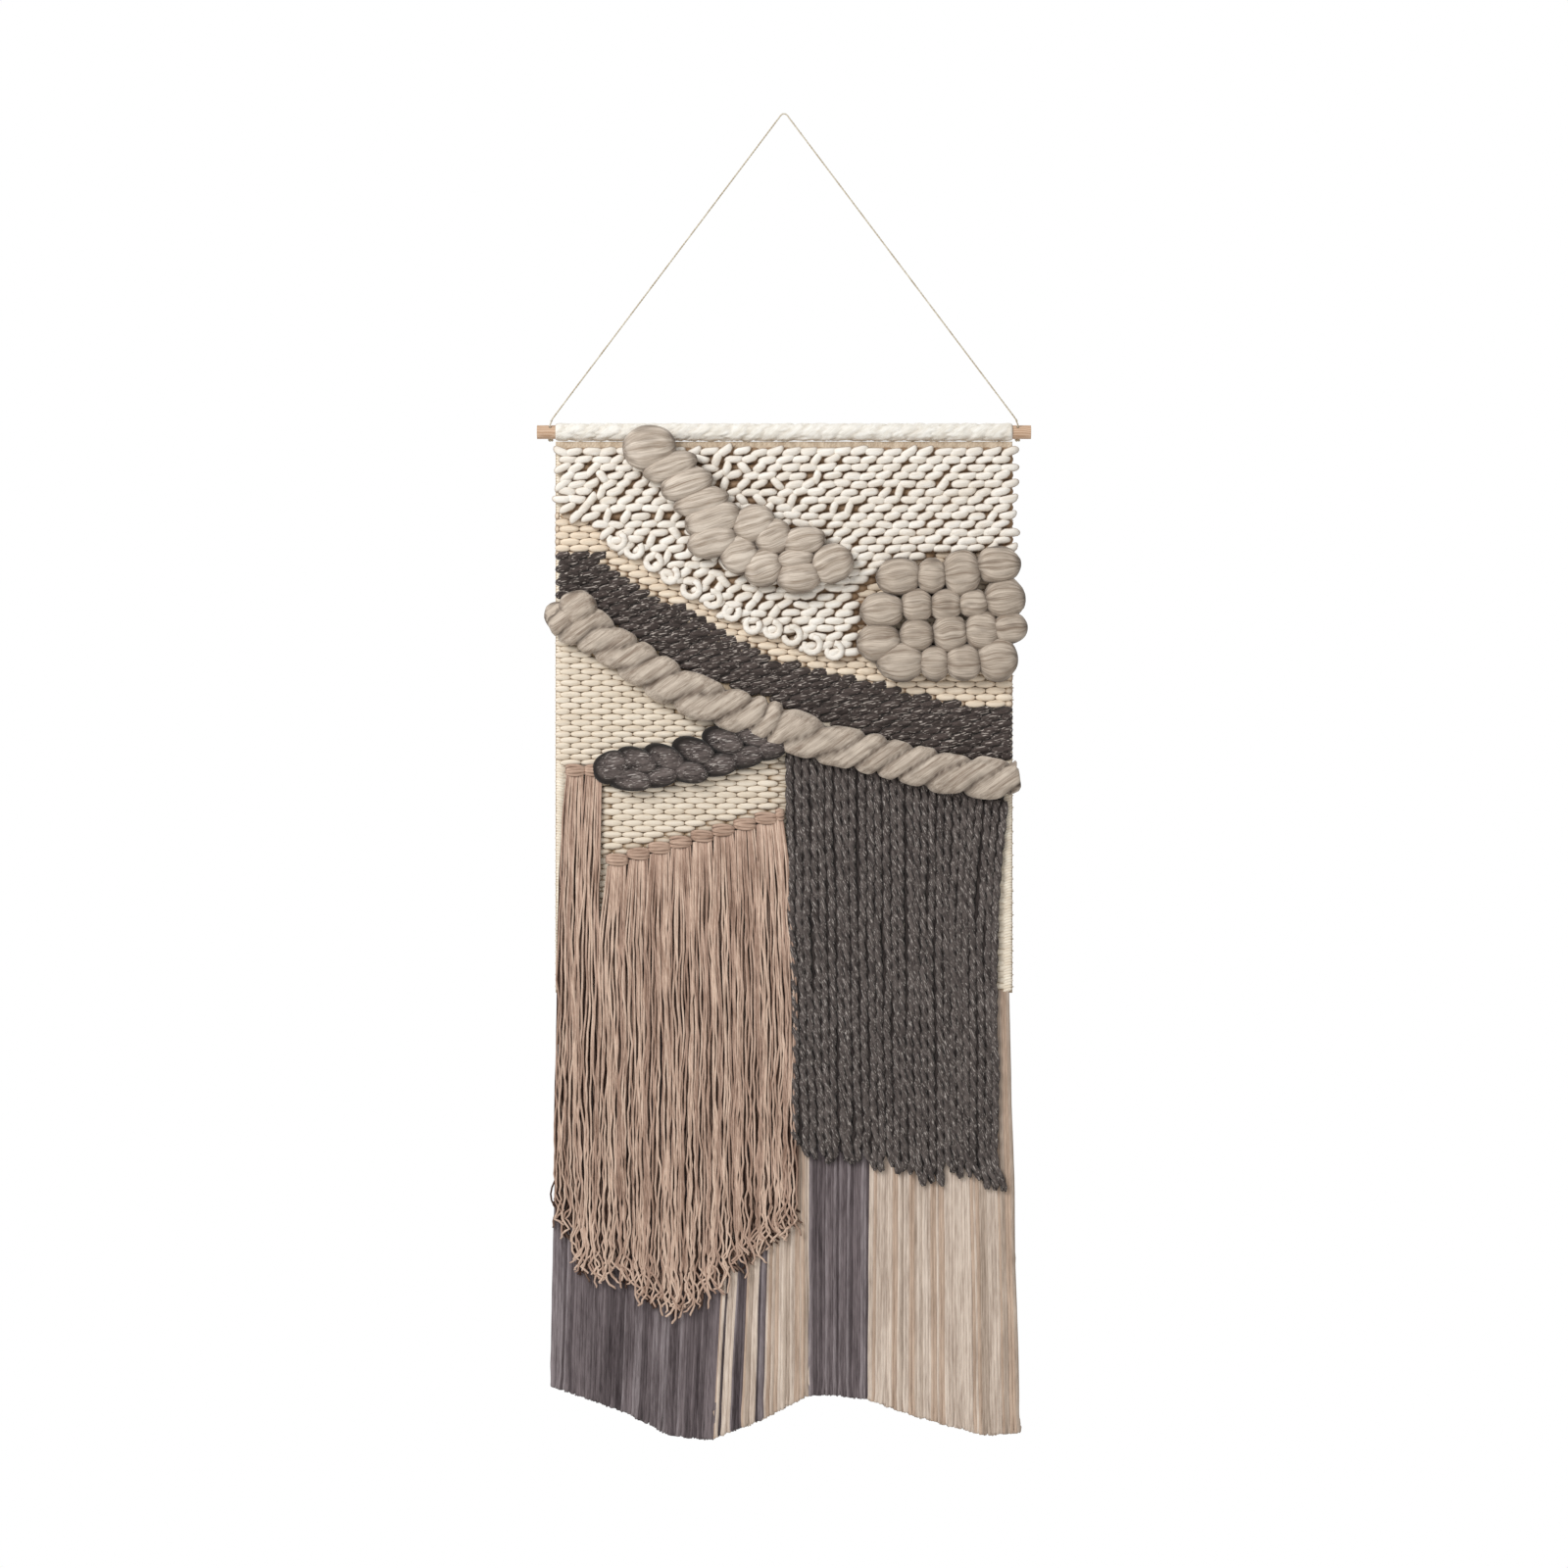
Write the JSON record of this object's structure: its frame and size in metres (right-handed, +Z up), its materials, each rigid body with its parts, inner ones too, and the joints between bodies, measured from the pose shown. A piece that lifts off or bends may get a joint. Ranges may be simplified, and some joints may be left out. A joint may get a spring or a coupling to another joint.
{
  "type": "tapestry wall hanging",
  "caption": "Woven wall hanging on a wooden dowel: loop pile, roving puffs, slanting stitched fields and long fringes, hung by a cord from one hook.",
  "frame": {"origin": "the top of the hanging cord, where it passes over the wall hook", "axes": "+Z up along the height, front of the weaving towards -Y, wall on the +Y side, dowel along X"},
  "size_m": [0.504, 0.0461, 1.354],
  "materials": {
    "pale_wood": "bare, sanded, matt",
    "natural_twine": "thin twisted natural twine",
    "white_wool": "thick soft off-white roving and loops, matt",
    "tan_cotton": "fine tan plain weave, matt",
    "cream_cotton": "chunky cream stitches, matt",
    "charcoal_tweed": "charcoal yarn with pale flecks, matt",
    "taupe_roving": "unspun taupe wool roving, fibrous and matt",
    "rose_wool": "dusty rose two-ply yarn, matt",
    "grey_cotton": "fine dark grey yarn, matt",
    "mixed_cotton": "beige and grey yarns side by side, matt",
    "beige_cotton": "fine beige yarn, matt"
  },
  "bodies": {
    "hanger": {"dowel": "pale_wood", "hanging_cord": "natural_twine", "cord_knot_left": "natural_twine", "cord_knot_right": "natural_twine"},
    "panel": {"bottom_fringe_beige": "beige_cotton", "bottom_fringe_dark_left": "grey_cotton", "bottom_fringe_dark_middle": "grey_cotton", "bottom_fringe_mixed": "mixed_cotton", "braid_lower_row": "charcoal_tweed", "braid_upper_row": "charcoal_tweed", "charcoal_stripe": "charcoal_tweed", "cream_weave_lower": "cream_cotton", "cream_weave_middle": "cream_cotton", "cream_weave_upper": "cream_cotton", "ground_weave": "cream_cotton", "header_band": "tan_cotton", "left_puffs_column": "taupe_roving", "left_puffs_lower_row": "taupe_roving", "left_puffs_upper_row": "taupe_roving", "loop_pile_left": "white_wool", "loop_pile_lower": "white_wool", "loop_pile_right": "white_wool", "loop_pile_top": "white_wool", "right_puffs_row_1": "taupe_roving", "right_puffs_row_2": "taupe_roving", "right_puffs_row_3": "taupe_roving", "right_puffs_row_4": "taupe_roving", "rose_knot_01": "rose_wool", "rose_knot_02": "rose_wool", "rose_knot_03": "rose_wool", "rose_knot_04": "rose_wool", "rose_knot_05": "rose_wool", "rose_knot_06": "rose_wool", "rose_knot_07": "rose_wool", "rose_knot_08": "rose_wool", "rose_knot_09": "rose_wool", "rose_knot_10": "rose_wool", "rose_knot_11": "rose_wool", "sweep_band": "taupe_roving", "top_whipping": "white_wool"},
    "rose_side_fringe": {"rose_tassel_01": "rose_wool", "rose_tassel_02": "rose_wool"},
    "rose_fringe": {"rose_tassel_03": "rose_wool", "rose_tassel_04": "rose_wool", "rose_tassel_05": "rose_wool", "rose_tassel_06": "rose_wool", "rose_tassel_07": "rose_wool", "rose_tassel_08": "rose_wool", "rose_tassel_09": "rose_wool", "rose_tassel_10": "rose_wool", "rose_tassel_11": "rose_wool"},
    "charcoal_fringe": {"charcoal_fringe_1": "charcoal_tweed", "charcoal_fringe_2": "charcoal_tweed", "charcoal_fringe_3": "charcoal_tweed", "charcoal_fringe_4": "charcoal_tweed"}
  },
  "joints": [
    {"name": "panel_swing", "type": "hinge", "parent": "hanger", "child": "panel", "pos_m": [0, 0, -0.3275], "axis": [-1, 0, 0], "range_deg": [0, 60]},
    {"name": "rose_side_fringe_swing", "type": "hinge", "parent": "panel", "child": "rose_side_fringe", "pos_m": [-0.203, -0.0043, -0.6845], "axis": [-1, 0, 0], "range_deg": [0, 60]},
    {"name": "rose_fringe_swing", "type": "hinge", "parent": "panel", "child": "rose_fringe", "pos_m": [-0.091, -0.0043, -0.75651], "axis": [-0.9635, 0, -0.2676], "range_deg": [0, 60]},
    {"name": "charcoal_fringe_swing", "type": "hinge", "parent": "panel", "child": "charcoal_fringe", "pos_m": [0.115, -0.00465, -0.694], "axis": [-0.9721, 0, 0.2345], "range_deg": [0, 60]}
  ]
}
